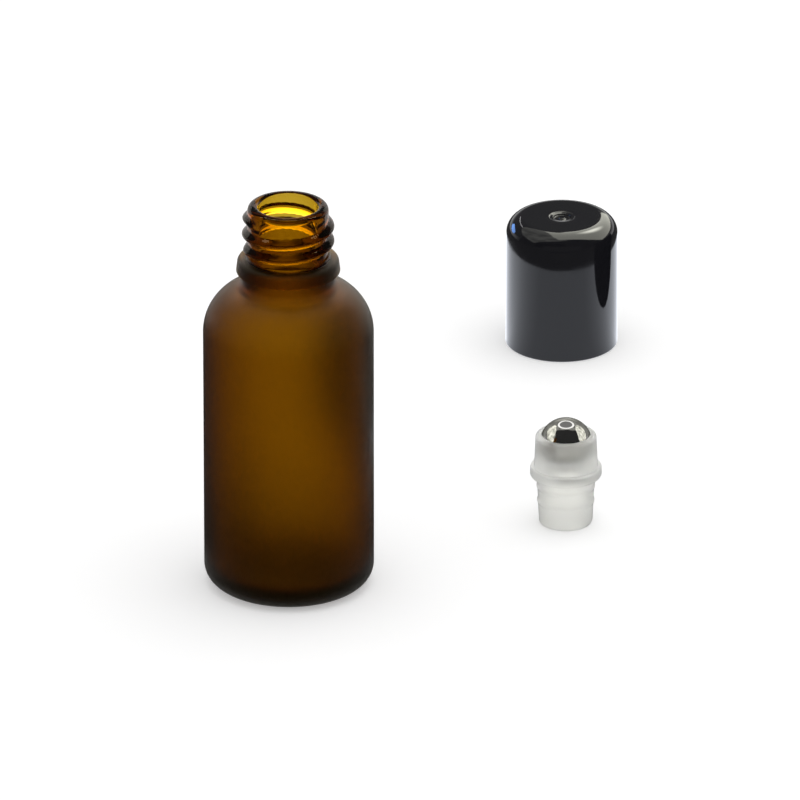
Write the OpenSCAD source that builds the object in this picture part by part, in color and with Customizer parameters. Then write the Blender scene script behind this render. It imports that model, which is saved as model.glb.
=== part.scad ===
// Roll on bottle: an amber glass bottle with a screw neck, a roller housing that
// presses into the neck, a steel ball that rolls in it, and a screw cap.
// The pieces stand apart, each upright on the table. Millimetres, +Z up.
// The origin is on the table, at the centre of the ground that the set covers.

/* [Bottle body] */
// Outer diameter of the body
body_d = 33; // [31:0.5:40]
// Height of the bottle, from the table to the rim
bottle_h = 79; // [72:1:110]
// Radius of the shoulder
shoulder_radius = 10; // [8:0.5:11]
// Radius of the edge round the base
heel_radius = 4; // [2.5:0.25:5]
// Thickness of the glass in the body
glass_wall = 2.3; // [1.8:0.1:3]
// Thickness of the glass in the base
glass_base = 3; // [2.4:0.1:4]
// Height of the hollow under the base
punt_depth = 0.8; // [0.4:0.1:1.2]
// Width of the ring that the bottle stands on
foot_ring_w = 1.4; // [1:0.1:2.5]

/* [Bottle neck] */
// Outer diameter of the neck, between the threads
neck_d = 15.7; // [15:0.1:17]
// Diameter of the straight bore in the neck
bore_d = 11.4; // [10.8:0.1:12.2]
// Height of the threaded neck above the collar
finish_h = 10.85; // [10.5:0.05:13]
// Height of the collar under the threads
collar_h = 2.85; // [2.4:0.05:3.5]
// How far the collar stands out from the neck
collar_reach = 2.2; // [1.9:0.05:2.6]
// How far the neck under the collar stands out from the neck above it
shank_reach = 1.15; // [0.9:0.05:1.5]
// Straight length of the neck under the collar
shank_h = 1.6; // [1:0.1:4]
// Radius of the hollow curve between neck and shoulder
throat_radius = 2; // [1.5:0.1:3]
// Rounding of the outer edge of the rim
rim_radius = 1.1; // [0.6:0.1:1.3]

/* [Thread] */
// Rise of the thread in one turn
thread_pitch = 3; // [2.8:0.05:3.2]
// Height of the thread above the neck
thread_h = 1.1; // [0.9:0.05:1.2]
// Width of the thread at its root
thread_w = 2.1; // [1.8:0.05:2.2]
// Turns of thread on the neck
neck_turns = 2.16; // [1.5:0.02:2.2]
// Turns of thread in the cap
cap_turns = 1.5; // [1:0.05:1.6]
// Depth of the upper end of the thread, below the rim
thread_drop = 2.6; // [2:0.05:2.8]

/* [Roller] */
// Diameter of the ball
ball_d = 10.5; // [9.5:0.1:11]
// Height of the lip above the middle of the ball
grip_h = 2.2; // [1.8:0.05:2.6]
// Wall of the cup at the middle of the ball
cup_wall = 0.8; // [0.6:0.05:1.1]
// Diameter of the hole in the middle of the seat
seat_hole_d = 5.2; // [4.6:0.1:5.8]
// Thickness of the flange that sits on the rim
flange_t = 2.05; // [1.6:0.05:2.6]
// How far the flange stays inside the neck's outer edge
flange_inset = 0.85; // [0.7:0.05:1.1]
// Length of the plug below the flange
plug_h = 10; // [8:0.1:13]
// Wall of the plug
plug_wall = 0.9; // [0.7:0.05:1.2]
// How much narrower the plug is at its foot, on the radius
plug_taper = 0.42; // [0.3:0.02:0.6]

/* [Cap] */
// Wall of the cap outside its thread
cap_wall = 2.1; // [1.6:0.1:3]
// Thickness of the cap's roof
cap_roof = 1.8; // [1.4:0.1:2.6]
// Free height above the ball, inside the closed cap
cap_headroom = 2.9; // [2.4:0.1:5]
// Rounding of the upper edge
cap_radius = 3.4; // [2:0.1:4]
// Diameter of the dished spot in the middle of the top
gate_d = 5.2; // [4:0.1:7]

/* [Layout] */
// How far the housing stands to the right of the bottle's axis
housing_right = 54; // [40:1:90]
// How far the housing stands behind the bottle's axis
housing_back = 27; // [0:1:40]
// How far the cap stands to the right of the bottle's axis
cap_right = 54; // [40:1:90]
// How far the cap stands behind the bottle's axis
cap_back = 115; // [60:1:140]

/* [Hidden] */
$fn = 96;
arc_steps = 10;
fine_steps = 5;

// Bottle, worked out from the sizes above
body_r = body_d / 2;
neck_r = neck_d / 2;
bore_r = bore_d / 2;
collar_r = neck_r + collar_reach;
shank_r = neck_r + shank_reach;
collar_top = bottle_h - finish_h;
collar_low = collar_top - collar_h;
throat_top = collar_low - shank_h;
shoulder_x = body_r - shoulder_radius;
throat_rise = sqrt(pow(shoulder_radius + throat_radius, 2) - pow(shank_r + throat_radius - shoulder_x, 2));
shoulder_z = throat_top - throat_rise;
throat_a = atan2(throat_rise, shank_r + throat_radius - shoulder_x);
foot_r = body_r - heel_radius;
punt_r = foot_r - foot_ring_w;
collar_round = 1;
collar_taper = 0.2;
collar_edge = 0.25;
neck_flare = 0.6;

// Inside of the bottle
inner_r = body_r - glass_wall;
heel_step = 1;
inner_heel = heel_radius - heel_step;
inner_shoulder = shoulder_radius - glass_wall;
inner_throat = 3.5;
inner_rise = sqrt(pow(inner_shoulder + inner_throat, 2) - pow(bore_r + inner_throat - shoulder_x, 2));
inner_a = atan2(inner_rise, bore_r + inner_throat - shoulder_x);
mouth_radius = 0.8;
floor_rise = 0.5;

// Threads
thread_r = neck_r + thread_h;
thread_gap = 0.2;
cap_thread_h = 1;
cap_thread_w = 1.8;
cap_thread_z = 2.2;
thread_bite = 0.45;
thread_sink = 0.1;
thread_fade = 0.14;
end_share = 0.06;
thread_start = 213;
ring_steps = 40;
ridge_sides = 6;

// Ball and housing; heights are above the foot of the plug
ball_r = ball_d / 2;
socket_gap = 0.05;
socket_r = ball_r + socket_gap;
seat_hole_r = seat_hole_d / 2;
seat_sink = 0.13;
lip_r = sqrt(pow(socket_r, 2) - pow(grip_h, 2));
flange_low = plug_h;
flange_top = flange_low + flange_t;
ball_z = flange_top + sqrt(pow(socket_r, 2) - pow(seat_hole_r, 2)) - seat_sink;
cup_top = ball_z + grip_h;
cup_r = socket_r + cup_wall;
cup_draft = 0.12;
cup_round = 0.75;
flange_r = neck_r - flange_inset;
flange_round = 0.45;
plug_gap = 0.03;
plug_r = bore_r - plug_gap;
plug_foot_r = plug_r - plug_taper;
plug_round = 0.6;
plug_roof = flange_low + 0.4;
bead_h = 0.18;
bead_w = 1.2;
bead_drops = [2.2, 5.3];
groove_w = 1;
groove_reach = 4.1;
groove_sink = 0.4;
groove_count = 3;

// Cap; heights are above its mouth
cap_gap = 0.3;
cap_root_r = thread_r + thread_gap;
cap_r = cap_root_r + cap_wall;
cap_draft = 0.1;
cap_edge = 0.3;
rim_in_cap = finish_h - cap_gap;
lip_in_cap = rim_in_cap + cup_top - flange_low;
ceiling = lip_in_cap + ball_r - grip_h + cap_headroom;
cap_h = ceiling + cap_roof;
thread_zone = 9.6;
zone_step = 0.4;
mouth_chamfer = 0.35;
inner_corner = 2;
seal_clear = 0.1;
seal_in_r = lip_r + 0.35;
seal_wall = 0.95;
seal_round = 0.3;
gate_r = gate_d / 2;
gate_dish = 0.15;
well_r = 1.75;
well_depth = 0.35;
nub_r = 0.65;
nub_h = 0.25;

// Places on the table, so that the whole set is centred on the origin
set_w = body_r + cap_right + cap_r;
set_l = body_r + cap_back + cap_r;
bottle_at = [body_r - set_w / 2, body_r - set_l / 2, 0];
housing_at = bottle_at + [housing_right, housing_back, 0];
cap_at = bottle_at + [cap_right, cap_back, 0];

// Points along a round corner, from angle a0 to angle a1
function arc(x, z, r, a0, a1, n = arc_steps) =
    [for (i = [0:n]) let (a = a0 + (a1 - a0) * i / n) [x + r * cos(a), z + r * sin(a)]];

// Share of its full height that a ridge has at the share t of its length
function fade(t, turns) = max(end_share, sin(90 * min(1, t * turns / thread_fade, (1 - t) * turns / thread_fade)));

// A ring of points across a ridge: side 1 points away from the axis, side -1 towards it
function ridge_ring(wall_r, side, h, w, rise) = concat(
    [for (i = [0:ridge_sides])
        let (s = 2 * i / ridge_sides - 1)
        [wall_r + side * ((h + thread_sink) * rise * cos(90 * s) - thread_sink), w / 2 * s]],
    [[wall_r - side * thread_bite, w / 2], [wall_r - side * thread_bite, -w / 2]]);

// A right-hand thread that climbs from the height low by turns of the pitch
module thread(wall_r, side, h, w, turns, low, start) {
    steps = ceil(turns * ring_steps);
    size = ridge_sides + 3;
    points = [for (i = [0:steps])
        let (t = i / steps, a = start + 360 * turns * t, z = low + thread_pitch * turns * t)
        for (p = ridge_ring(wall_r, side, h, w, fade(t, turns)))
        [p.x * cos(a), p.x * sin(a), z + p.y]];
    sides = [for (i = [0:steps - 1], j = [0:size - 1])
        let (k = (j + 1) % size, a = i * size + j, b = i * size + k)
        each [[a, b, b + size], [a, b + size, a + size]]];
    ends = [for (j = [1:size - 2]) each [[0, j + 1, j], [steps * size, steps * size + j, steps * size + j + 1]]];
    faces = concat(sides, ends);
    polyhedron(points, side > 0 ? faces : [for (f = faces) [for (i = [len(f) - 1:-1:0]) f[i]]]);
}

// Half of the bottle's section: base, heel, side, shoulder, neck, collar and rim
function bottle_outside() = concat(
    [[0, punt_depth], [punt_r - 2 * punt_depth, punt_depth], [punt_r, 0]],
    arc(foot_r, heel_radius, heel_radius, -90, 0),
    arc(shoulder_x, shoulder_z, shoulder_radius, 0, throat_a, 2 * arc_steps),
    arc(shank_r + throat_radius, throat_top, throat_radius, 180 + throat_a, 180),
    [[shank_r, collar_low]],
    arc(collar_r - collar_edge, collar_low + collar_edge, collar_edge, -90, 0, fine_steps),
    arc(collar_r - collar_taper - collar_round, collar_top - collar_round, collar_round, 0, 90),
    arc(neck_r + neck_flare, collar_top + neck_flare, neck_flare, 270, 180, fine_steps),
    arc(neck_r - rim_radius, bottle_h - rim_radius, rim_radius, 0, 90, fine_steps));

// The same for its inside, from the mouth down to the floor
function bottle_inside() = concat(
    arc(bore_r + mouth_radius, bottle_h - mouth_radius, mouth_radius, 90, 180, fine_steps),
    arc(bore_r + inner_throat, shoulder_z + inner_rise, inner_throat, 180, 180 + inner_a),
    arc(shoulder_x, shoulder_z, inner_shoulder, inner_a, 0, 2 * arc_steps),
    arc(inner_r - inner_heel, glass_base + inner_heel, inner_heel, 0, -90),
    [[0, glass_base + floor_rise]]);

module glass_bottle() {
    color("#7a4a10", 0.75)
    translate(bottle_at)
    union() {
        rotate_extrude() polygon(concat(bottle_outside(), bottle_inside()));
        thread(neck_r, 1, thread_h, thread_w, neck_turns,
            bottle_h - thread_drop - neck_turns * thread_pitch, thread_start - 360 * neck_turns);
    }
}

// Half of the housing's outside: plug with its sealing beads, flange and cup
function plug_side_r(z) = plug_r - plug_taper * (1 - z / plug_h);
function bead(z) = [for (i = [-2:2])
    let (h = z + bead_w * i / 4)
    [plug_side_r(h) + bead_h * cos(45 * i), h]];
function housing_outside() = concat(
    arc(plug_foot_r - plug_round, plug_round, plug_round, -90, 0, fine_steps),
    [for (i = [len(bead_drops) - 1:-1:0]) each bead(flange_low - bead_drops[i])],
    [[plug_r, flange_low]],
    arc(flange_r - flange_round, flange_low + flange_round, flange_round, -90, 0, fine_steps),
    arc(flange_r - flange_round, flange_top - flange_round, flange_round, 0, 90, fine_steps),
    [[cup_r + cup_draft, flange_top]],
    arc(cup_r - cup_draft - cup_round, cup_top - cup_round, cup_round, 0, 90, fine_steps));

// The socket that holds the ball, and the hollow of the plug
lip_a = asin(grip_h / socket_r);
seat_a = asin(seat_hole_r / socket_r) - 90;
function housing_inside() = concat(
    arc(0, ball_z, socket_r, lip_a, seat_a, 2 * arc_steps),
    [[seat_hole_r, plug_roof], [plug_r - plug_wall, plug_roof], [plug_foot_r - plug_wall, 0]]);

module roller_housing() {
    color("#e2e4df")
    translate(housing_at)
    difference() {
        rotate_extrude() polygon(concat(housing_outside(), housing_inside()));
        for (i = [0:groove_count - 1])
            rotate(360 * i / groove_count)
            translate([0, -groove_w / 2, flange_top - seat_sink - groove_sink])
            cube([groove_reach, groove_w, ball_z - flange_top]);
    }
}

module roller_ball() {
    color("silver")
    translate(housing_at + [0, 0, ball_z])
    sphere(r = ball_r);
}

// Half of the cap's section, from the mouth up over the top and down inside
function cap_outside() = concat(
    arc(cap_r - cap_edge, cap_edge, cap_edge, -90, 0, fine_steps),
    arc(cap_r - cap_draft - cap_radius, cap_h - cap_radius, cap_radius, 0, 90),
    [[gate_r, cap_h], [well_r + nub_r, cap_h - gate_dish], [well_r, cap_h - gate_dish],
        [well_r, cap_h - gate_dish - well_depth], [nub_r, cap_h - gate_dish - well_depth],
        [nub_r, cap_h - gate_dish - well_depth + nub_h], [0, cap_h - gate_dish - well_depth + nub_h]]);
function cap_inside() = concat(
    [[0, ceiling], [seal_in_r, ceiling]],
    arc(seal_in_r + seal_round, lip_in_cap + seal_clear + seal_round, seal_round, 180, 270, fine_steps),
    arc(seal_in_r + seal_wall - seal_round, lip_in_cap + seal_clear + seal_round, seal_round, 270, 360, fine_steps),
    [[seal_in_r + seal_wall, ceiling]],
    arc(cap_root_r - zone_step - inner_corner, ceiling - inner_corner, inner_corner, 90, 0),
    [[cap_root_r - zone_step, thread_zone + zone_step], [cap_root_r, thread_zone],
        [cap_root_r, mouth_chamfer], [cap_root_r + mouth_chamfer, 0]]);

module screw_cap() {
    color("#17181a")
    translate(cap_at)
    union() {
        rotate_extrude() polygon(concat(cap_outside(), cap_inside()));
        thread(cap_root_r, -1, cap_thread_h, cap_thread_w, cap_turns, cap_thread_z, thread_start);
    }
}

glass_bottle();
roller_housing();
roller_ball();
screw_cap();
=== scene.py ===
# Roll on bottle, taken apart: frosted amber bottle, roller housing with its steel ball, black screw cap.
import math
import bpy
import bmesh
from mathutils import Matrix, Vector


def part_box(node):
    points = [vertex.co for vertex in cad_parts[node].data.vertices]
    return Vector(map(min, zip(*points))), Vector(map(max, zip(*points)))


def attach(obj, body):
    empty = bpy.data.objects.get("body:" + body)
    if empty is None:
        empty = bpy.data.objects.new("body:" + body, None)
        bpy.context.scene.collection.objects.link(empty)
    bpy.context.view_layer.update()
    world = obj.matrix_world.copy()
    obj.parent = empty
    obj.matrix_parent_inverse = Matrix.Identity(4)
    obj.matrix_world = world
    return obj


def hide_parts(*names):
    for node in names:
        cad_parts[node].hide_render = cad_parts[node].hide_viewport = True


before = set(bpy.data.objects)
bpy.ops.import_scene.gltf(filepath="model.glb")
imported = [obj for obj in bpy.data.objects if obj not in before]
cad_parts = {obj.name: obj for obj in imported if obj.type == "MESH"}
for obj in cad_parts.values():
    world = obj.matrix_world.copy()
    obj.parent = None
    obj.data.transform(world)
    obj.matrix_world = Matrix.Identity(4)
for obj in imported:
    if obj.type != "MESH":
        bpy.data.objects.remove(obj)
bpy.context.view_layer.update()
print("frame loaded:", ", ".join(sorted(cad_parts)))

mm = 0.001
onAxis = 1e-6  # a point closer to the axis than this is one vertex, and not a ring
sameRadius = 0.02  # two radii closer than this are one wall
sharpAngle = math.radians(32)


# Geometry helpers, in millimetres. A section is a list of (radius, height) points.

def roundCorner(x, z, radius, start, end, steps):
    turn = math.radians(end - start)
    return [(x + radius * math.cos(math.radians(start) + turn * i / steps),
             z + radius * math.sin(math.radians(start) + turn * i / steps)) for i in range(steps + 1)]


def straight(a, b, step):
    count = max(1, math.ceil(math.dist(a, b) / step))  # rows between two points, both ends left out
    return [(a[0] + (b[0] - a[0]) * i / count, a[1] + (b[1] - a[1]) * i / count) for i in range(1, count)]


def centreOf(node):
    low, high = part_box(node)
    return Vector(((low.x + high.x) / 2, (low.y + high.y) / 2, low.z))


def sizeOf(node):
    low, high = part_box(node)
    return (high - low) / mm


def revolve(name, section, centre, segments, swell=None):
    mesh = bpy.data.meshes.new(name)
    build = bmesh.new()
    rows = []
    for r, z in section:
        if r < onAxis:
            rows.append([build.verts.new((0, 0, z * mm))])
            continue
        row = []
        for s in range(segments):
            angle = 2 * math.pi * s / segments
            reach = r + swell(r, z, angle) if swell else r
            row.append(build.verts.new((reach * math.cos(angle) * mm, reach * math.sin(angle) * mm, z * mm)))
        rows.append(row)
    loop = len(rows[0]) > 1 and len(rows[-1]) > 1  # a ring that closes on itself, with no point on the axis
    for a, b in zip(rows, rows[1:] + (rows[:1] if loop else [])):
        for s in range(segments):
            t = (s + 1) % segments
            if len(a) == 1 and len(b) == 1:
                continue
            elif len(a) == 1:
                build.faces.new((a[0], b[t], b[s]))
            elif len(b) == 1:
                build.faces.new((a[s], a[t], b[0]))
            else:
                build.faces.new((a[s], a[t], b[t], b[s]))
    bmesh.ops.recalc_face_normals(build, faces=build.faces)
    build.to_mesh(mesh)
    build.free()
    mesh.shade_smooth()
    mesh.set_sharp_from_angle(angle=sharpAngle)
    piece = bpy.data.objects.new(name, mesh)
    piece.location = centre
    bpy.context.scene.collection.objects.link(piece)
    return piece


crestPower = 1.15  # above 1 makes a thread's crest narrower than its foot


# Ridge of a right-hand thread: how high it stands at a height and an angle
def threadRidge(z, angle, spec):
    startAngle = math.radians(spec["startAngle"])
    best = 0.0
    for turn in range(math.ceil(spec["turns"])):
        t = (angle - startAngle) / (2 * math.pi) % 1 + turn
        if t > spec["turns"]:
            continue
        off = abs(z - (spec["low"] + t * spec["pitch"])) / (spec["width"] / 2)
        if off < 1:
            fade = min(1, t / spec["fade"], (spec["turns"] - t) / spec["fade"])
            full = spec["height"] * math.sin(math.pi / 2 * fade)
            best = max(best, full * math.cos(math.pi / 2 * off) ** crestPower)
    return best


# Node helpers

def newMaterial(name, values):
    material = bpy.data.materials.new(name)
    material.use_nodes = True
    tree = material.node_tree
    shader = tree.nodes["Principled BSDF"]
    for socket, value in values.items():
        shader.inputs[socket].default_value = value
    return material, tree, shader


def addNode(tree, kind, values=None, **options):
    node = tree.nodes.new(kind)
    for option, value in options.items():
        setattr(node, option, value)
    for socket, value in (values or {}).items():
        node.inputs[socket].default_value = value
    return node


def noise(tree, coords, scale, detail, roughness=0.5):
    texture = addNode(tree, "ShaderNodeTexNoise", {"Scale": scale, "Detail": detail, "Roughness": roughness})
    tree.links.new(coords, texture.inputs["Vector"])
    return texture.outputs["Fac"]


def mapRange(tree, value, fromLow, fromHigh, toLow, toHigh, kind="LINEAR"):
    node = addNode(tree, "ShaderNodeMapRange", {"From Min": fromLow, "From Max": fromHigh, "To Min": toLow,
                                                "To Max": toHigh}, interpolation_type=kind)
    tree.links.new(value, node.inputs["Value"])
    return node.outputs["Result"]


def spread(tree, value, fromLow, fromHigh, middle, reach):
    return mapRange(tree, value, fromLow, fromHigh, middle - reach, middle + reach)


def wander(tree, value, fromLow, fromHigh, spec):
    return mapRange(tree, value, fromLow, fromHigh, spec["roughness"] - spec["glossier"],
                    spec["roughness"] + spec["duller"])


def maths(tree, operation, a, b):
    node = addNode(tree, "ShaderNodeMath", operation=operation)
    for value, socket in ((a, node.inputs[0]), (b, node.inputs[1])):
        if isinstance(value, (int, float)):
            socket.default_value = value
        else:
            tree.links.new(value, socket)
    return node.outputs["Value"]


def mixColour(tree, share, first, second):
    node = addNode(tree, "ShaderNodeMix", data_type="RGBA", clamp_factor=True)
    tree.links.new(share, node.inputs["Factor"])
    for value, socket in ((first, node.inputs[6]), (second, node.inputs[7])):  # the node's colour sockets
        if isinstance(value, tuple):
            socket.default_value = (*value, 1)
        else:
            tree.links.new(value, socket)
    return node.outputs[2]


def bump(tree, height, strength, distance, before=None):
    node = addNode(tree, "ShaderNodeBump", {"Distance": distance})
    if isinstance(strength, (int, float)):
        node.inputs["Strength"].default_value = strength
    else:
        tree.links.new(strength, node.inputs["Strength"])
    tree.links.new(height, node.inputs["Height"])
    if before:
        tree.links.new(before, node.inputs["Normal"])
    return node.outputs["Normal"]


def objectCoords(tree):
    return addNode(tree, "ShaderNodeTexCoord").outputs["Object"]


# Amber bottle

bottleSpec = {
    "neckWidth": 15.7, "boreWidth": 11.4, "finishHeight": 10.85,  # threaded neck above the collar
    "collarHeight": 2.85, "collarReach": 2.2, "collarRound": 1.0, "collarTaper": 0.2, "collarEdge": 0.25,
    "shankReach": 1.15, "shankHeight": 1.6, "throatRadius": 2.0, "neckFlare": 0.6,
    "shoulderRadius": 10.0, "heelRadius": 4.0, "footRing": 1.4, "punt": 0.8,
    "wall": 2.3, "base": 3.0, "floorRise": 0.5, "innerHeel": 3.0, "innerThroat": 3.5,
    "rimRadius": 1.1, "mouthRadius": 0.8,
    "threadDrop": 2.6, "pitch": 3.0, "threadHeight": 1.08, "threadWidth": 2.3, "turns": 2.16,
    "threadEnd": 213.0, "fade": 0.14,
    "segments": 240, "threadStep": 0.11, "boreStep": 1.5, "wallStep": 2.0,  # how finely it is cut
    "frostPast": 0.05,  # the frost ends this far above the collar
    "frostRoughness": 0.48, "clearRoughness": 0.015, "grainScale": 900.0, "grainSpread": 0.05,
    "etchScale": 5200.0, "etchDepth": 0.04, "etchStrength": 0.25,  # fine acid-etched grain
    "rippleScale": 260.0, "rippleDepth": 0.08, "rippleStrength": 0.25,  # slow waves of moulded glass
    "amber": (0.80, 0.685, 0.0), "amberDensity": 1750.0,  # what a metre of the glass takes from each colour
    # the heel tint is painted shade, the shoulder tint painted light
    "frostTint": (0.87, 0.82, 0.55), "paintedHeelShade": (0.46, 0.43, 0.42), "paintedShoulderLight": (1.0, 1.0, 0.6),
    "clearTint": (1.0, 0.99, 0.97),
    "heelFrom": 24.0, "heelTo": 3.0,  # heights between which the glass is tinted darker towards its heel: painted shade
    "shoulderFrom": 50.0, "shoulderTo": 62.0,  # and tinted lighter over its shoulder: painted light
    "cloudScale": 45.0, "cloudSpread": 0.10,  # slow clouds in both
    "sheen": (0.30, 0.20, 0.05),  # colour of the surface's own reflection, head on
}


def bottleSection(spec, width, height):
    body, neck, bore = width / 2, spec["neckWidth"] / 2, spec["boreWidth"] / 2
    shank, collar = neck + spec["shankReach"], neck + spec["collarReach"]
    collarTop = height - spec["finishHeight"]
    collarLow = collarTop - spec["collarHeight"]
    throatTop = collarLow - spec["shankHeight"]
    shoulder, throat = spec["shoulderRadius"], spec["throatRadius"]
    shoulderX = body - shoulder
    rise = math.sqrt((shoulder + throat) ** 2 - (shank + throat - shoulderX) ** 2)
    shoulderZ = throatTop - rise
    turn = math.degrees(math.atan2(rise, shank + throat - shoulderX))
    foot = body - spec["heelRadius"]
    punt = foot - spec["footRing"]
    outside = [(0, spec["punt"]), (punt - 2 * spec["punt"], spec["punt"]), (punt, 0)]
    outside += roundCorner(foot, spec["heelRadius"], spec["heelRadius"], -90, 0, 16)
    outside += straight(outside[-1], (body, shoulderZ), spec["wallStep"])
    outside += roundCorner(shoulderX, shoulderZ, shoulder, 0, turn, 30)
    outside += roundCorner(shank + throat, throatTop, throat, 180 + turn, 180, 14)[1:]
    outside += [(shank, collarLow)]
    edge, corner = spec["collarEdge"], spec["collarRound"]
    outside += roundCorner(collar - edge, collarLow + edge, edge, -90, 0, 5)
    outside += roundCorner(collar - spec["collarTaper"] - corner, collarTop - corner, corner, 0, 90, 10)
    flare = spec["neckFlare"]
    outside += roundCorner(neck + flare, collarTop + flare, flare, 270, 180, 8)
    rimLow = height - spec["rimRadius"]
    outside += straight(outside[-1], (neck, rimLow), spec["threadStep"])
    outside += roundCorner(neck - spec["rimRadius"], rimLow, spec["rimRadius"], 0, 90, 12)
    mouth = spec["mouthRadius"]
    inside = roundCorner(bore + mouth, height - mouth, mouth, 90, 180, 10)
    innerShoulder, innerThroat = shoulder - spec["wall"], spec["innerThroat"]
    innerRise = math.sqrt((innerShoulder + innerThroat) ** 2 - (bore + innerThroat - shoulderX) ** 2)
    innerTurn = math.degrees(math.atan2(innerRise, bore + innerThroat - shoulderX))
    inside += straight(inside[-1], (bore, shoulderZ + innerRise), spec["boreStep"])
    inside += roundCorner(bore + innerThroat, shoulderZ + innerRise, innerThroat, 180, 180 + innerTurn, 16)
    inside += roundCorner(shoulderX, shoulderZ, innerShoulder, innerTurn, 0, 24)[1:]
    innerHeel = spec["innerHeel"]
    inner = body - spec["wall"]
    inside += straight(inside[-1], (inner, spec["base"] + innerHeel), spec["wallStep"])
    inside += roundCorner(inner - innerHeel, spec["base"] + innerHeel, innerHeel, 0, -90, 14)
    inside += straight(inside[-1], (0, spec["base"] + spec["floorRise"]), spec["wallStep"])
    inside += [(0, spec["base"] + spec["floorRise"])]
    return outside, inside, collarTop


def makeAmberGlass(spec):
    material, tree, shader = newMaterial("amberGlass", {
        "IOR": 1.52, "Transmission Weight": 1.0, "Specular Tint": (*spec["sheen"], 1)})
    coords = objectCoords(tree)
    frost = addNode(tree, "ShaderNodeAttribute", attribute_name="frost").outputs["Fac"]
    height = addNode(tree, "ShaderNodeSeparateXYZ")
    tree.links.new(coords, height.inputs["Vector"])
    # painted shade: the etched tint darkens towards the heel; painted light: it lightens over the shoulder;
    # slow clouds of tone over both
    low = mapRange(tree, height.outputs["Z"], spec["heelFrom"] * mm, spec["heelTo"] * mm, 0, 1, "SMOOTHSTEP")
    high = mapRange(tree, height.outputs["Z"], spec["shoulderFrom"] * mm, spec["shoulderTo"] * mm, 0, 1,
                    "SMOOTHSTEP")
    cloudsAndHeelShade = maths(tree, "ADD", low, spread(tree, noise(tree, coords, spec["cloudScale"], 2), 0.35, 0.65,
                                            0, spec["cloudSpread"]))
    etchedTintWithPaintedLight = mixColour(tree, high, mixColour(tree, cloudsAndHeelShade, spec["frostTint"], spec["paintedHeelShade"]),
                           spec["paintedShoulderLight"])
    tree.links.new(mixColour(tree, frost, spec["clearTint"], etchedTintWithPaintedLight), shader.inputs["Base Color"])
    grain = spread(tree, noise(tree, coords, spec["grainScale"], 3), 0.3, 0.7, 0, spec["grainSpread"])
    frostRough = maths(tree, "ADD", grain, spec["frostRoughness"])
    rough = mapRange(tree, frost, 0, 1, spec["clearRoughness"], 1)
    tree.links.new(maths(tree, "MINIMUM", rough, frostRough), shader.inputs["Roughness"])
    etch = noise(tree, coords, spec["etchScale"], 2)
    ripple = noise(tree, coords, spec["rippleScale"], 2)
    etched = bump(tree, etch, maths(tree, "MULTIPLY", frost, spec["etchStrength"]), spec["etchDepth"] * mm)
    tree.links.new(bump(tree, ripple, spec["rippleStrength"], spec["rippleDepth"] * mm, etched),
                   shader.inputs["Normal"])
    volume = addNode(tree, "ShaderNodeVolumeAbsorption", {"Color": (*spec["amber"], 1),
                                                          "Density": spec["amberDensity"]})
    tree.links.new(volume.outputs["Volume"], tree.nodes["Material Output"].inputs["Volume"])
    return material


def makeBottle(spec):
    size = sizeOf("glass_bottle")
    outside, inside, collarTop = bottleSection(spec, size.x, size.z)
    neck = spec["neckWidth"] / 2
    thread = {"low": size.z - spec["threadDrop"] - spec["turns"] * spec["pitch"], "pitch": spec["pitch"],
              "turns": spec["turns"], "height": spec["threadHeight"], "width": spec["threadWidth"],
              "fade": spec["fade"], "startAngle": spec["threadEnd"] - 360 * spec["turns"]}

    def swell(r, z, angle):
        onNeck = abs(r - neck) < sameRadius and z > collarTop + spec["neckFlare"]
        return threadRidge(z, angle, thread) if onNeck else 0

    piece = revolve("bottle_glass", outside + inside, centreOf("glass_bottle"), spec["segments"], swell)
    frost = piece.data.attributes.new("frost", "FLOAT", "POINT")
    values = []
    for i, (r, z) in enumerate(outside + inside):
        frosted = i < len(outside) and z < collarTop + spec["frostPast"]
        values += [1.0 if frosted else 0.0] * (1 if r < onAxis else spec["segments"])
    frost.data.foreach_set("value", values)
    piece.data.materials.append(makeAmberGlass(spec))
    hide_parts("glass_bottle")
    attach(piece, "bottle")


makeBottle(bottleSpec)
print("bottle made")


# Roller housing

housingSpec = {
    "plugHeight": 10.0, "flange": 2.05, "flangeRound": 0.45, "boreWidth": 11.4, "plugGap": 0.03,
    "plugTaper": 0.42, "plugRound": 0.6, "plugWall": 0.9, "plugRoof": 0.4, "plugShoulder": 0.15,
    "roofChamfer": 0.3, "mouthChamfer": 0.1,
    "beadHeight": 0.18, "beadWidth": 1.2, "beadDrops": (2.2, 5.3), "beadPower": 1.5, "beadSteps": 16,
    "ballWidth": 10.5, "socketGap": 0.05, "gripHeight": 2.2, "seatHole": 5.2, "seatSink": 0.13,
    "cupWall": 0.8, "cupDraft": 0.12, "cupRound": 0.75, "cupFillet": 0.2,
    "grooves": 3, "grooveWidth": 1.0, "grooveReach": 4.1, "grooveSink": 0.4,
    "segments": 192,
    "colour": (0.985, 0.985, 0.955, 1), "transmission": 0.97, "roughness": 0.42, "milk": 1.2,
    "glossier": 0.05, "duller": 0.07,  # how far the roughness wanders
    "cloudScale": 420.0, "grainScale": 1500.0, "grainDepth": 0.03, "grainStrength": 0.2,
}


def ballHeight(spec):
    socket = spec["ballWidth"] / 2 + spec["socketGap"]
    seat = math.sqrt(socket ** 2 - (spec["seatHole"] / 2) ** 2)
    return spec["plugHeight"] + spec["flange"] + seat - spec["seatSink"]


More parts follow.
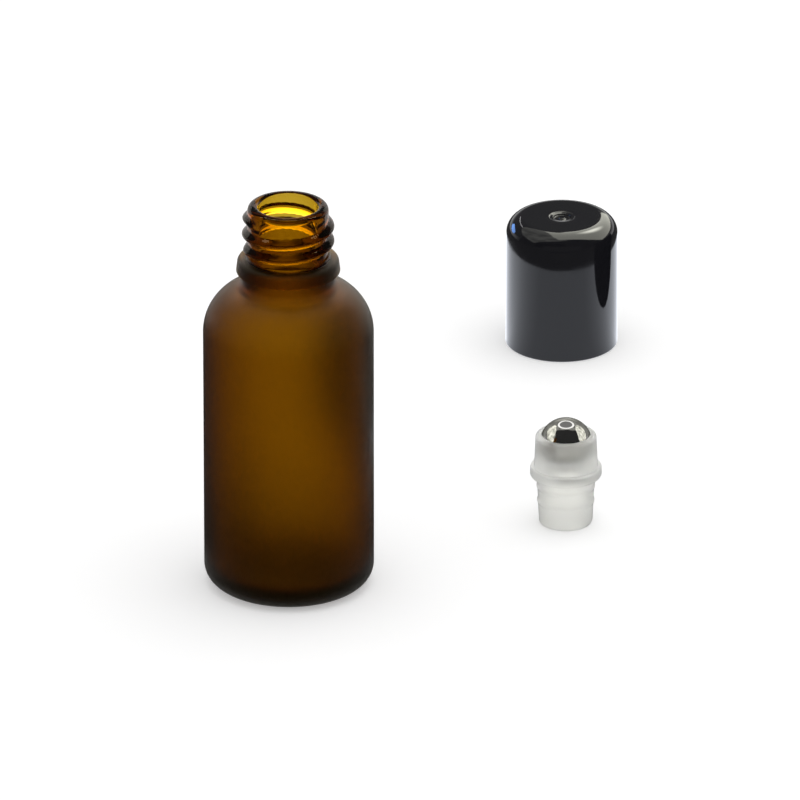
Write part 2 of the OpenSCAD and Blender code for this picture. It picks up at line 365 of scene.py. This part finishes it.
def housingSection(spec, width):
    socket = spec["ballWidth"] / 2 + spec["socketGap"]
    plug = spec["boreWidth"] / 2 - spec["plugGap"]
    foot, low = plug - spec["plugTaper"], spec["plugHeight"]
    top, flange = low + spec["flange"], width / 2
    ballZ = ballHeight(spec)
    cupTop, cup = ballZ + spec["gripHeight"], socket + spec["cupWall"]

    def plugSide(z):
        return plug - spec["plugTaper"] * (1 - z / low)

    section = roundCorner(foot - spec["plugRound"], spec["plugRound"], spec["plugRound"], -90, 0, 8)
    count, shoulder = spec["beadSteps"], spec["plugShoulder"]
    for drop in reversed(spec["beadDrops"]):
        for i in range(-count // 2, count // 2 + 1):
            z = low - drop + spec["beadWidth"] * i / count
            bead = spec["beadHeight"] * math.cos(math.pi / count * i) ** spec["beadPower"]
            section.append((plugSide(z) + bead, z))
    section += [(plug, low - shoulder), (plug + shoulder, low)]
    edge = spec["flangeRound"]
    section += roundCorner(flange - edge, low + edge, edge, -90, 0, 8)
    section += roundCorner(flange - edge, top - edge, edge, 0, 90, 8)
    fillet, corner = spec["cupFillet"], spec["cupRound"]
    section += roundCorner(cup + spec["cupDraft"] + fillet, top + fillet, fillet, 270, 180, 4)
    section += roundCorner(cup - spec["cupDraft"] - corner, cupTop - corner, corner, 0, 90, 12)
    lip = math.degrees(math.asin(spec["gripHeight"] / socket))
    seat = math.degrees(math.asin(spec["seatHole"] / 2 / socket)) - 90
    section += roundCorner(0, ballZ, socket, lip, seat, 36)
    roof, wall = low + spec["plugRoof"], spec["plugWall"]
    chamfer, mouth = spec["roofChamfer"], spec["mouthChamfer"]
    section += [(spec["seatHole"] / 2, roof), (plug - wall - chamfer, roof), (plug - wall, roof - chamfer)]
    section += [(foot - wall, mouth), (foot - wall + mouth, 0)]
    return section


def cutGrooves(piece, spec):
    cutter = bpy.data.meshes.new("grooveCutter")
    build = bmesh.new()
    low = spec["plugHeight"] + spec["flange"] - spec["seatSink"] - spec["grooveSink"]
    high = ballHeight(spec)
    for i in range(spec["grooves"]):
        made = bmesh.ops.create_cube(build, size=1)["verts"]
        bmesh.ops.scale(build, verts=made, vec=(spec["grooveReach"] * mm, spec["grooveWidth"] * mm,
                                                (high - low) * mm))
        bmesh.ops.translate(build, verts=made, vec=(spec["grooveReach"] / 2 * mm, 0, (high + low) / 2 * mm))
        bmesh.ops.rotate(build, verts=made, cent=(0, 0, 0),
                         matrix=Matrix.Rotation(2 * math.pi * i / spec["grooves"], 3, "Z"))
    build.to_mesh(cutter)
    build.free()
    knife = bpy.data.objects.new("grooveCutter", cutter)
    knife.location = piece.location
    bpy.context.scene.collection.objects.link(knife)
    cut = piece.modifiers.new("grooves", "BOOLEAN")
    cut.operation, cut.solver, cut.object = "DIFFERENCE", "EXACT", knife
    bpy.context.view_layer.update()
    shape = bpy.data.meshes.new_from_object(piece.evaluated_get(bpy.context.evaluated_depsgraph_get()))
    piece.modifiers.clear()
    piece.data = shape
    bpy.data.objects.remove(knife)
    shape.shade_smooth()
    shape.set_sharp_from_angle(angle=sharpAngle)


def makeNaturalPlastic(spec):
    material, tree, shader = newMaterial("naturalPlastic", {
        "Base Color": spec["colour"], "Roughness": spec["roughness"], "IOR": 1.5,
        "Transmission Weight": spec["transmission"], "Subsurface Weight": 1.0,
        "Subsurface Radius": (1.0, 1.0, 0.9), "Subsurface Scale": spec["milk"] * mm})
    coords = objectCoords(tree)
    cloud = noise(tree, coords, spec["cloudScale"], 3)
    tree.links.new(wander(tree, cloud, 0.3, 0.7, spec), shader.inputs["Roughness"])
    grain = noise(tree, coords, spec["grainScale"], 2)
    tree.links.new(bump(tree, grain, spec["grainStrength"], spec["grainDepth"] * mm), shader.inputs["Normal"])
    return material


def makeHousing(spec):
    piece = revolve("housing_shell", housingSection(spec, sizeOf("roller_housing").x),
                    centreOf("roller_housing"), spec["segments"])
    cutGrooves(piece, spec)
    piece.data.materials.append(makeNaturalPlastic(spec))
    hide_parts("roller_housing")
    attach(piece, "housing")


makeHousing(housingSpec)
print("housing made")


# Steel ball

ballSpec = {
    "colour": (0.42, 0.415, 0.40, 1), "edge": (0.6, 0.6, 0.59, 1),
    "roughness": 0.05, "glossier": 0.02, "duller": 0.04,  # how far the roughness wanders
    "hazeScale": 900.0, "grainScale": 2600.0, "grainDepth": 0.01, "grainStrength": 0.08,
    "cuts": 31,
}


def makeBallSteel(spec):
    material, tree, shader = newMaterial("ballSteel", {
        "Base Color": spec["colour"], "Metallic": 1.0, "Roughness": spec["roughness"],
        "Specular Tint": spec["edge"]})
    coords = objectCoords(tree)
    haze = noise(tree, coords, spec["hazeScale"], 4)
    tree.links.new(wander(tree, haze, 0.35, 0.75, spec), shader.inputs["Roughness"])
    grain = noise(tree, coords, spec["grainScale"], 3)
    tree.links.new(bump(tree, grain, spec["grainStrength"], spec["grainDepth"] * mm), shader.inputs["Normal"])
    return material


def makeBall(spec):
    low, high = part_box("roller_ball")
    mesh = bpy.data.meshes.new("ball")
    build = bmesh.new()
    bmesh.ops.create_cube(build, size=2)
    bmesh.ops.subdivide_edges(build, edges=build.edges, cuts=spec["cuts"], use_grid_fill=True)
    radius = (high.z - low.z) / 2
    for vert in build.verts:
        vert.co = vert.co.normalized() * radius  # a cube of small squares, blown up to a ball: no poles
    build.to_mesh(mesh)
    build.free()
    mesh.shade_smooth()
    piece = bpy.data.objects.new("steel_ball", mesh)
    piece.location = (low + high) / 2
    bpy.context.scene.collection.objects.link(piece)
    mesh.materials.append(makeBallSteel(spec))
    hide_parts("roller_ball")
    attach(piece, "ball")


makeBall(ballSpec)
print("ball made")


# Screw cap

capSpec = {
    "draft": 0.1, "edge": 0.3, "topRadius": 3.4, "roof": 1.8,
    "wall": 2.1, "zone": 9.6, "zoneStep": 0.4, "chamfer": 0.35, "innerCorner": 2.0,
    "threadHeight": 0.98, "threadWidth": 1.9, "threadLow": 2.2, "pitch": 3.0, "turns": 1.5, "fade": 0.14,
    "startAngle": 213.0,
    "sealRadius": 5.17, "sealWall": 0.95, "sealRound": 0.3, "sealLow": 19.39,
    "gateWidth": 5.2, "gateDish": 0.15, "wellWidth": 3.5, "wellDepth": 0.35,
    "nubWidth": 1.3, "nubHeight": 0.25, "nubDome": 0.04,
    "gateEdge": [(0.08, 0), (0.03, -0.01), (0, -0.03), (-0.08, -0.1)],  # steps outwards and up
    "gateFloor": [(-0.12, 0.02), (-0.18, 0)],
    "wellEdge": [(0.12, 0), (0.03, -0.03), (0, -0.1)],
    "wellFloor": [(-0.08, 0.05), (-0.16, 0)],
    "nubFoot": [(0.15, 0), (0.02, 0.04)],
    "nubEdge": [(-0.06, -0.06), (-0.16, 0)],
    "segments": 240, "threadStep": 0.11, "plainStep": 1.2, "gateMargin": 0.1,
    "colour": (0.008, 0.008, 0.010, 1), "roughness": 0.06, "glossier": 0.02, "duller": 0.06,
    "smudgeScale": 140.0, "waveScale": 170.0, "waveDepth": 0.04, "waveStrength": 0.25,
}


def stepsFrom(x, z, offsets):
    return [(x + dx, z + dz) for dx, dz in offsets]


def capSection(spec, width, height):
    side, top = width / 2, height
    section = roundCorner(side - spec["edge"], spec["edge"], spec["edge"], -90, 0, 6)
    shelf = side - spec["draft"] - spec["topRadius"]
    section += roundCorner(shelf, top - spec["topRadius"], spec["topRadius"], 0, 90, 28)
    gate, well, nub = spec["gateWidth"] / 2, spec["wellWidth"] / 2, spec["nubWidth"] / 2
    dish, deep = top - spec["gateDish"], top - spec["gateDish"] - spec["wellDepth"]
    nubTop = deep + spec["nubHeight"]
    section += straight(section[-1], (gate + spec["gateMargin"], top), spec["plainStep"])
    section += stepsFrom(gate, top, spec["gateEdge"]) + stepsFrom(gate, dish, spec["gateFloor"])
    section += stepsFrom(well, dish, spec["wellEdge"]) + stepsFrom(well, deep, spec["wellFloor"])
    section += stepsFrom(nub, deep, spec["nubFoot"]) + stepsFrom(nub, nubTop, spec["nubEdge"])
    section += [(0, nubTop - spec["nubDome"])]
    ceiling, root = top - spec["roof"], side - spec["wall"]
    seal, sealOut = spec["sealRadius"], spec["sealRadius"] + spec["sealWall"]
    rim = spec["sealRound"]
    inside = [(0, ceiling)] + straight((0, ceiling), (seal, ceiling), spec["plainStep"]) + [(seal, ceiling)]
    inside += roundCorner(seal + rim, spec["sealLow"] + rim, rim, 180, 270, 6)
    inside += roundCorner(sealOut - rim, spec["sealLow"] + rim, rim, 270, 360, 6)
    inside += [(sealOut, ceiling)]
    corner, upper = spec["innerCorner"], root - spec["zoneStep"]
    inside += roundCorner(upper - corner, ceiling - corner, corner, 90, 0, 10)
    inside += [(upper, spec["zone"] + spec["zoneStep"]), (root, spec["zone"])]
    inside += straight(inside[-1], (root, spec["chamfer"]), spec["threadStep"])
    inside += [(root, spec["chamfer"]), (root + spec["chamfer"], 0)]
    return section, inside, root


def makeBlackPlastic(spec):
    material, tree, shader = newMaterial("blackPlastic", {
        "Base Color": spec["colour"], "Roughness": spec["roughness"], "IOR": 1.5})
    coords = objectCoords(tree)
    smudge = noise(tree, coords, spec["smudgeScale"], 4, 0.6)
    tree.links.new(wander(tree, smudge, 0.35, 0.75, spec), shader.inputs["Roughness"])
    wave = noise(tree, coords, spec["waveScale"], 1)
    tree.links.new(bump(tree, wave, spec["waveStrength"], spec["waveDepth"] * mm), shader.inputs["Normal"])
    return material


def makeCap(spec):
    size = sizeOf("screw_cap")
    outside, inside, root = capSection(spec, size.x, size.z)
    thread = {"low": spec["threadLow"], "pitch": spec["pitch"], "turns": spec["turns"], "fade": spec["fade"],
              "height": spec["threadHeight"], "width": spec["threadWidth"], "startAngle": spec["startAngle"]}

    def swell(r, z, angle):
        inZone = abs(r - root) < sameRadius and spec["chamfer"] < z < spec["zone"]
        return -threadRidge(z, angle, thread) if inZone else 0

    piece = revolve("cap_shell", outside + inside, centreOf("screw_cap"), spec["segments"], swell)
    piece.data.materials.append(makeBlackPlastic(spec))
    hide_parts("screw_cap")
    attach(piece, "cap")


makeCap(capSpec)
print("cap made")


# Table, backdrop and light

studio = {
    "tableSize": 3.0, "tableColour": 0.78, "tableGlow": 0.32,  # the glow lifts the open table to white
    "skyGlow": 1.0, "roomGlow": 0.045, "ceilingGlow": 0.105,  # white sweep behind the set, dim room above it
    "sweepFrom": 0.05, "sweepTo": 0.24, "frontTo": 0.1, "behindFrom": 0.6,  # where they change over
    "fill": 0.78,
    "lampPlace": (0.15, 0.05, 1.0), "lampAim": (0, 0, 0.03), "lampSize": 0.9, "lampRadiance": 1.0,
    "benchGlow": 0.08, "matColour": (0.88, 0.92, 1.0), "matRadius": 58.0,
    "matGlow": 1.0, "matGlowBehind": 1.9, "matFrontTo": -0.75, "matBehindFrom": 0.05,
    # a dim mat round the bottle's foot, seen only in reflections: painted shade low on the bottle
    "heelMat": 26.0, "heelGlow": 0.35,
    "tableSink": 0.02, "matSink": 0.01, "heelSink": 0.005,  # keeps table, mats and feet apart
}


def seenDirectly(tree):
    path = addNode(tree, "ShaderNodeLightPath")
    bent = maths(tree, "MAXIMUM", path.outputs["Is Glossy Ray"], path.outputs["Is Transmission Ray"])
    return maths(tree, "MAXIMUM", path.outputs["Is Camera Ray"], bent)


def makeTable(spec):
    mesh = bpy.data.meshes.new("table")
    half = spec["tableSize"] / 2
    corners = [(-half, -half, 0), (half, -half, 0), (half, half, 0), (-half, half, 0)]
    mesh.from_pydata(corners, [], [(0, 1, 2, 3)])
    table = bpy.data.objects.new("table", mesh)
    table.location.z = -spec["tableSink"] * mm
    bpy.context.scene.collection.objects.link(table)
    material = bpy.data.materials.new("tablePaper")
    material.use_nodes = True
    tree = material.node_tree
    tree.nodes.clear()
    paper = addNode(tree, "ShaderNodeBsdfDiffuse", {"Color": (spec["tableColour"],) * 3 + (1,)})
    glow = addNode(tree, "ShaderNodeEmission", {"Color": (1, 1, 1, 1)})
    tree.links.new(maths(tree, "MULTIPLY", seenDirectly(tree), spec["tableGlow"]), glow.inputs["Strength"])
    both = addNode(tree, "ShaderNodeAddShader")
    tree.links.new(paper.outputs["BSDF"], both.inputs[0])
    tree.links.new(glow.outputs["Emission"], both.inputs[1])
    output = addNode(tree, "ShaderNodeOutputMaterial")
    tree.links.new(both.outputs["Shader"], output.inputs["Surface"])
    mesh.materials.append(material)


def makeSky(spec):
    world = bpy.data.worlds.new("sky")
    bpy.context.scene.world = world
    world.use_nodes = True
    tree = world.node_tree
    tree.nodes.clear()
    path = addNode(tree, "ShaderNodeLightPath")
    direction = addNode(tree, "ShaderNodeTexCoord").outputs["Generated"]
    split = addNode(tree, "ShaderNodeSeparateXYZ")
    tree.links.new(direction, split.inputs["Vector"])
    sweep = mapRange(tree, split.outputs["Z"], spec["sweepFrom"], spec["sweepTo"], spec["skyGlow"],
                     spec["ceilingGlow"])
    behind = mapRange(tree, split.outputs["Y"], spec["frontTo"], spec["behindFrom"], spec["roomGlow"],
                      spec["skyGlow"])
    room = maths(tree, "MINIMUM", sweep, behind)
    # the camera and the clear pieces see white, the shiny pieces the room
    bright = maths(tree, "MAXIMUM", path.outputs["Is Camera Ray"], path.outputs["Is Transmission Ray"])
    shown = maths(tree, "MAXIMUM", room, bright)
    backdrop = addNode(tree, "ShaderNodeBackground", {"Color": (1, 1, 1, 1)})
    tree.links.new(shown, backdrop.inputs["Strength"])
    fill = addNode(tree, "ShaderNodeBackground", {"Color": (1, 1, 1, 1), "Strength": spec["fill"]})
    mix = addNode(tree, "ShaderNodeMixShader")
    tree.links.new(seenDirectly(tree), mix.inputs["Fac"])
    tree.links.new(fill.outputs["Background"], mix.inputs[1])
    tree.links.new(backdrop.outputs["Background"], mix.inputs[2])
    output = addNode(tree, "ShaderNodeOutputWorld")
    tree.links.new(mix.outputs["Shader"], output.inputs["Surface"])


def addSoftbox(spec):
    lamp = bpy.data.lights.new("softbox", "AREA")
    lamp.shape, lamp.size = "SQUARE", spec["lampSize"]
    lamp.energy = spec["lampRadiance"] * math.pi * spec["lampSize"] ** 2
    box = bpy.data.objects.new("softbox", lamp)
    box.location = spec["lampPlace"]
    box.rotation_euler = (Vector(spec["lampAim"]) - box.location).to_track_quat("-Z", "Y").to_euler()
    box.visible_glossy = False  # shiny surfaces show the cards below instead
    box.visible_transmission = False
    bpy.context.scene.collection.objects.link(box)


makeTable(studio)
makeSky(studio)
addSoftbox(studio)
print("table and lights made")


# Cards round the pieces, as in a glass studio: the camera sees none of them, and they light nothing. Only
# rays that have met a shiny or clear surface show them. Those for the cap, the housing and the ball go along
# when these are lifted. A corner is (side, lift): degrees to the right of the camera's side, and degrees
# above the level, both seen from the piece

capCards = {
    "window": {  # the crescent on the right of the cap's rounding
        "aim": (110, 50), "distance": 45.0, "glow": 3.0, "colour": (1.0, 1.0, 0.88),
        "outline": [(-14, 68), (16, 67), (37, 62), (62, 38), (74, 22), (85, 10), (97, 11), (106, 12),
                    (124, 13), (137, 13), (152, 10), (160, 7), (171, 22), (172, 30), (178, 33), (180, 45),
                    (-175, 44), (-171, 41), (-156, 57), (-112, 76)],
        "core": (136, 50), "coreReach": 17.0, "coreGlow": 12.0},
    "wall": {  # the dim patch left of it
        "aim": (-120, 50), "distance": 60.0, "glow": 0.75, "colour": (1.0, 1.0, 0.92),
        "patchy": 0.35, "patchScale": 45.0,
        "outline": [(-124, 36), (-145, 40), (-160, 42), (-171, 39), (-177, 41), (180, 70), (17, 61),
                    (-11, 59), (-42, 45), (-61, 21), (-98, 29)]},
    "tube": {  # thin white line further left
        "aim": (-155, 35), "distance": 44.0, "glow": 3.0,
        "outline": [(-162.1, 22.1), (-151.4, 27.8), (-133.7, 38.0), (-132, 36.6), (-151, 26.4),
                    (-161, 21.2)]},
    "blueLamp": {
        "aim": (-110, 25), "distance": 40.0, "glow": 8.0, "colour": (0.2, 0.42, 1.0),
        "outline": [(-135, 9), (-134, 17), (-123, 17), (-110, 13), (-108, 5), (-116, 2), (-126, 5)]},
}
stripe = {"width": 25.0, "height": 29.0, "gap": 18.0, "forward": 5.0, "steps": 12}  # the cap's dark stripe
flag = {"width": 80.0, "low": 5.0, "high": 46.0, "gap": 42.0, "glow": 0.1}  # keeps the others out of the cap

ballCards = {
    "leftPanel": {
        "aim": (-100, 35), "distance": 21.0, "glow": 1.6, "colour": (1.0, 1.0, 0.9),
        "patchy": 0.55, "patchScale": 200.0,
        "outline": [(-99, 19), (-119, 25), (-127, 34), (-135, 46), (-124, 55), (-84, 56), (-62, 42),
                    (-57, 18), (-72, 10)]},
    "rightPanel": {
        "aim": (100, 35), "distance": 21.0, "glow": 1.6, "colour": (1.0, 1.0, 0.9),
        "patchy": 0.55, "patchScale": 200.0,
        "outline": [(100, 16), (117, 24), (127, 33), (133, 43), (129, 54), (92, 59), (74, 48), (62, 32),
                    (60, 15), (75, 6)]},
    "greySky": {  # behind and above the ball
        "aim": (180, 45), "distance": 23.0, "glow": 0.45, "colour": (1.0, 1.0, 0.94),
        "patchy": 0.3, "patchScale": 180.0,
        "outline": [(0, 83), (75, 68), (95, 50), (115, 22), (118, 4), (140, -6), (180, -8), (-140, -6),
                    (-118, 4), (-115, 22), (-95, 50), (-75, 68)],
        "core": (180, 27), "coreReach": 13.0, "coreGlow": 1.0},
    "neckShade": {  # keeps the card over the neck out of the ball
        "aim": (-60, 55), "distance": 28.0, "glow": 0.045,
        "outline": [(-88, 42), (-55, 36), (-25, 50), (-15, 64), (-50, 76), (-88, 60)]},
}
ringLamp = {
    "height": 20.9, "behind": 6.6, "tilt": 28.0,
    "radius": 9.7, "inner": 7.3, "edge": 0.1, "glow": 2.4, "middle": 0.4,
}

neckCards = {
    "brightStrip": {  # behind the neck, for the streaks in its threads
        "aim": (180, 12), "distance": 26.0, "glow": 6.0, "colour": (1.0, 1.0, 0.95), "rays": "transmission",
        "outline": [(140, -2), (220, -2), (220, 30), (140, 30)]},
    "neckBack": {  # grey in the threads' left and right ends
        "aim": (180, 0), "distance": 37.0, "glow": 0.8, "colour": (1.0, 0.96, 0.94),
        "outline": [(122, -24), (150, -33), (180, -36), (-150, -33), (-122, -24), (-122, 20), (-150, 28),
                    (180, 30), (150, 28), (122, 20)]},
    "neckTop": {  # light lines along the threads' upper sides
        "aim": (0, 90), "distance": 26.0, "glow": 3.5, "colour": (1.0, 0.96, 0.94),
        "outline": [(-102, 46), (-78, 46), (78, 46), (102, 46)]},
}

bodyCards = {  # dark cards seen only through the glass: painted shade on the right of the body and low on its left
    "rightShadeCard": {
        "aim": (140, 0), "distance": 29.0, "glow": 0.1, "rays": "transmission",
        "backGlow": 1.0, "outline": [(108, -31), (166, -31), (166, 25), (108, 25)]},
    "leftShadeCard": {  # lies on the table
        "aim": (-140, -90), "distance": 39.3, "glow": 0.1, "rays": "transmission",
        "backGlow": 1.0, "outline": [(-104, -64), (-160, -64), (-160, -29), (-104, -29)]},
}


def toward(side, lift):
    turn, up = math.radians(side), math.radians(lift)
    return Vector((math.sin(turn) * math.cos(up), -math.cos(turn) * math.cos(up), math.sin(up)))


white = (1.0, 1.0, 1.0)


def addCard(name, corners, faces, place, glow, colour=white, rays="glossy", backGlow=0.0):
    mesh = bpy.data.meshes.new(name)
    mesh.from_pydata(corners, [], faces)
    card = bpy.data.objects.new(name, mesh)
    card.location = place
    bpy.context.scene.collection.objects.link(card)
    card.visible_camera = card.visible_diffuse = card.visible_shadow = card.visible_volume_scatter = False
    card.visible_glossy = rays == "glossy"
    card.visible_transmission = rays == "transmission"
    material = bpy.data.materials.new(name)
    material.use_nodes = True
    tree = material.node_tree
    tree.nodes.clear()
    light = addNode(tree, "ShaderNodeEmission", {"Color": (*colour, 1), "Strength": glow})
    behind = addNode(tree, "ShaderNodeEmission", {"Color": (*white, 1), "Strength": backGlow})
    sides = addNode(tree, "ShaderNodeMixShader")
    tree.links.new(addNode(tree, "ShaderNodeNewGeometry").outputs["Backfacing"], sides.inputs["Fac"])
    tree.links.new(light.outputs["Emission"], sides.inputs[1])
    tree.links.new(behind.outputs["Emission"], sides.inputs[2])
    output = addNode(tree, "ShaderNodeOutputMaterial")
    tree.links.new(sides.outputs["Shader"], output.inputs["Surface"])
    mesh.materials.append(material)
    return card, tree, light.inputs["Strength"]


def addPanel(name, spec, eye, body=None):
    aim = toward(*spec["aim"])

    def onCard(corner):
        return toward(*corner) * (spec["distance"] * mm / toward(*corner).dot(aim))

    corners = [onCard(corner) for corner in spec["outline"]]
    if sum(a.cross(b).dot(aim) for a, b in zip(corners, corners[1:] + corners[:1])) > 0:
        corners.reverse()  # so that the lit side faces the piece
    card, tree, strength = addCard(name, corners, onePolygon(corners), eye, spec["glow"],
                                   spec.get("colour", white), spec.get("rays", "glossy"),
                                   spec.get("backGlow", 0.0))
    if body:
        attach(card, body)
    shine = strength.default_value
    if "core" in spec:  # brightest about one place
        far = addNode(tree, "ShaderNodeVectorMath", operation="DISTANCE")
        far.inputs[1].default_value = onCard(spec["core"])
        tree.links.new(objectCoords(tree), far.inputs[0])
        shine = mapRange(tree, far.outputs["Value"], 0, spec["coreReach"] * mm, spec["coreGlow"],
                         spec["glow"], "SMOOTHSTEP")
        tree.links.new(shine, strength)
    if "patchy" in spec:
        patches = mapRange(tree, noise(tree, objectCoords(tree), spec["patchScale"], 2), 0.35, 0.65,
                           1 - spec["patchy"], 1 + spec["patchy"])
        tree.links.new(maths(tree, "MULTIPLY", patches, shine), strength)


def circle(radius, count=96):
    angles = [2 * math.pi * i / count for i in range(count)]
    return [(radius * mm * math.cos(angle), radius * mm * math.sin(angle), 0) for angle in angles]


def flatRing(inner, outer, count=96):
    faces = [(i, count + i, count + (i + 1) % count, (i + 1) % count) for i in range(count)]
    return circle(inner, count) + circle(outer, count), faces


def onePolygon(corners):
    return [tuple(range(len(corners)))]


# Shiny walls show a white mat round the cap, lighter behind it, on a grey bench
def addMat(spec):
    low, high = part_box("screw_cap")
    middle = ((low.x + high.x) / 2, (low.y + high.y) / 2, -spec["matSink"] * mm)
    corners, faces = flatRing(spec["matRadius"], spec["tableSize"] / 2 / mm)
    addCard("greyBench", corners, faces, middle, spec["benchGlow"])
    corners = circle(spec["matRadius"])
    mat, tree, strength = addCard("whiteMat", corners, onePolygon(corners), middle, spec["matGlow"],
                                  spec["matColour"])
    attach(mat, "cap")
    heading = addNode(tree, "ShaderNodeVectorMath", operation="NORMALIZE")
    tree.links.new(objectCoords(tree), heading.inputs[0])
    split = addNode(tree, "ShaderNodeSeparateXYZ")
    tree.links.new(heading.outputs["Vector"], split.inputs["Vector"])
    tree.links.new(mapRange(tree, split.outputs["Y"], spec["matFrontTo"], spec["matBehindFrom"],
                            spec["matGlow"], spec["matGlowBehind"]), strength)


def addStripe(spec):
    low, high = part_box("screw_cap")
    wide, tall = spec["width"] * mm, spec["height"] * mm
    corners = [(0, wide / 2 * math.cos(a), wide / 2 * (1 + math.sin(a)))
               for a in (math.pi * (1 + i / spec["steps"]) for i in range(spec["steps"] + 1))]
    corners += [(0, wide / 2, tall), (0, -wide / 2, tall)]
    place = (high.x + spec["gap"] * mm, (low.y + high.y) / 2 - spec["forward"] * mm, 0)
    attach(addCard("blackStripe", corners, onePolygon(corners), place, 0.0)[0], "cap")


def addFlag(spec):
    low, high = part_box("screw_cap")
    half, bottom, top = spec["width"] / 2 * mm, spec["low"] * mm, spec["high"] * mm
    corners = [(half, 0, bottom), (-half, 0, bottom), (-half, 0, top), (half, 0, top)]
    place = ((low.x + high.x) / 2, low.y - spec["gap"] * mm, 0)
    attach(addCard("blackFlag", corners, [(0, 1, 2, 3)], place, spec["glow"])[0], "cap")


def addRingLamp(spec, ball):
    corners = circle(spec["radius"])
    corners.reverse()  # lit side down
    place = ball + Vector((0, spec["behind"], spec["height"])) * mm
    lamp, tree, strength = addCard("ringLamp", corners, onePolygon(corners), place, spec["glow"])
    lamp.rotation_euler.x = math.radians(-spec["tilt"])
    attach(lamp, "housing")
    reach = addNode(tree, "ShaderNodeVectorMath", operation="LENGTH")
    tree.links.new(objectCoords(tree), reach.inputs[0])
    tree.links.new(mapRange(tree, reach.outputs["Value"], (spec["inner"] - spec["edge"]) * mm,
                            (spec["inner"] + spec["edge"]) * mm, spec["middle"], spec["glow"]), strength)


def addCards():
    low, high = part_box("screw_cap")
    capTop = Vector(((low.x + high.x) / 2, (low.y + high.y) / 2, high.z))
    for name, spec in capCards.items():
        addPanel(name, spec, capTop, "cap")
    low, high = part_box("roller_ball")
    ball = (low + high) / 2
    for name, spec in ballCards.items():
        addPanel(name, spec, ball, "housing")
    addRingLamp(ringLamp, ball)
    low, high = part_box("glass_bottle")
    neck = Vector(((low.x + high.x) / 2, (low.y + high.y) / 2, high.z - bottleSpec["finishHeight"] * mm / 2))
    for name, spec in neckCards.items():
        addPanel(name, spec, neck)
    for name, spec in bodyCards.items():
        addPanel(name, spec, (low + high) / 2)
    # painted shade: a dim mat round the bottle's foot, which only its reflections show
    corners = circle(studio["heelMat"])
    place = (neck.x, neck.y, -studio["heelSink"] * mm)
    addCard("heelMat", corners, onePolygon(corners), place, studio["heelGlow"])
    addMat(studio)
    addStripe(stripe)
    addFlag(flag)


addCards()
print("cards set")


# Camera: the photograph is taken as 800 pixels square

shot = {"elevation": 24.0, "distance": 3.0, "pixelsPerMm": 5.2, "imageSize": 800.0,
        "bottlePixel": 288.0, "rimPixel": 205.0, "sensorWidth": 36.0, "nearest": 0.01, "farthest": 20.0}


def makeCamera(spec):
    scene = bpy.context.scene
    camera = bpy.data.objects.new("camera", bpy.data.cameras.new("camera"))
    scene.collection.objects.link(camera)
    focal = spec["pixelsPerMm"] / mm * spec["distance"]  # in pixels
    camera.data.sensor_width = spec["sensorWidth"]
    camera.data.lens = focal / spec["imageSize"] * spec["sensorWidth"]
    tilt = math.radians(spec["elevation"])
    back = Vector((0, -math.cos(tilt), math.sin(tilt)))
    up = Vector((0, math.sin(tilt), math.cos(tilt)))
    low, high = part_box("glass_bottle")
    rim = (low + high) / 2
    rim.z = high.z
    right = (spec["imageSize"] / 2 - spec["bottlePixel"]) / (spec["pixelsPerMm"] / mm)
    down = (spec["imageSize"] / 2 - spec["rimPixel"]) / (spec["pixelsPerMm"] / mm)
    target = rim + Vector((1, 0, 0)) * right - up * down
    camera.location = target + back * spec["distance"]
    camera.rotation_mode = "QUATERNION"
    camera.rotation_quaternion = (-back).to_track_quat("-Z", "Y")
    camera.data.clip_start, camera.data.clip_end = spec["nearest"], spec["farthest"]
    scene.camera = camera


makeCamera(shot)
bpy.context.scene.view_settings.view_transform = "Standard"
print("camera set")
